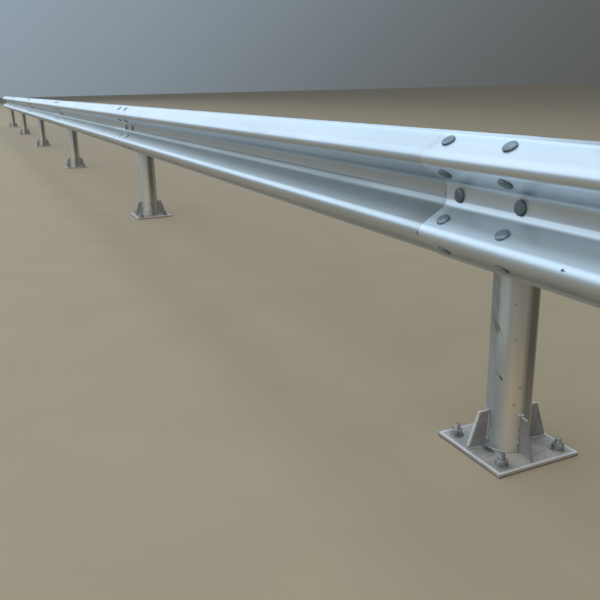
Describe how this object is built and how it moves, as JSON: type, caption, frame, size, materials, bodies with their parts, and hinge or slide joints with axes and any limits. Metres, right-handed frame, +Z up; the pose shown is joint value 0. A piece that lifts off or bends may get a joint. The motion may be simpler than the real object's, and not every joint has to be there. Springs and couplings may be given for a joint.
{
  "type": "highway guardrail section",
  "caption": "Roadside guardrail run: a lapped two-wave steel beam held by bent brackets on round posts with gusseted, bolted base plates.",
  "frame": {"origin": "centre of the underside of the middle base plate", "axes": "+X along the rail, -Y towards the road, +Z up"},
  "size_m": [24.32, 0.3087, 0.805],
  "materials": {
    "beam_steel": "galvanised, satin",
    "post_steel": "galvanised, dull",
    "plate_steel": "galvanised, dull, dusty",
    "bracket_steel": "galvanised, dull"
  },
  "bodies": {
    "root": {"base_plate_1": "plate_steel", "base_plate_2": "plate_steel", "base_plate_3": "plate_steel", "base_plate_4": "plate_steel", "base_plate_5": "plate_steel", "base_plate_6": "plate_steel", "base_plate_7": "plate_steel", "post_1": "post_steel", "post_2": "post_steel", "post_3": "post_steel", "post_4": "post_steel", "post_5": "post_steel", "post_6": "post_steel", "post_7": "post_steel", "gussets_1": "plate_steel", "gussets_2": "plate_steel", "gussets_3": "plate_steel", "gussets_4": "plate_steel", "gussets_5": "plate_steel", "gussets_6": "plate_steel", "gussets_7": "plate_steel", "bracket_1": "bracket_steel", "bracket_2": "bracket_steel", "bracket_3": "bracket_steel", "bracket_4": "bracket_steel", "bracket_5": "bracket_steel", "bracket_6": "bracket_steel", "bracket_7": "bracket_steel", "post_cap_1": "post_steel", "post_cap_2": "post_steel", "post_cap_3": "post_steel", "post_cap_4": "post_steel", "post_cap_5": "post_steel", "post_cap_6": "post_steel", "post_cap_7": "post_steel", "rail_panel_1": "beam_steel", "rail_panel_2": "beam_steel", "rail_panel_3": "beam_steel", "rail_panel_4": "beam_steel", "rail_panel_5": "beam_steel", "rail_panel_6": "beam_steel"}
  },
  "joints": []
}
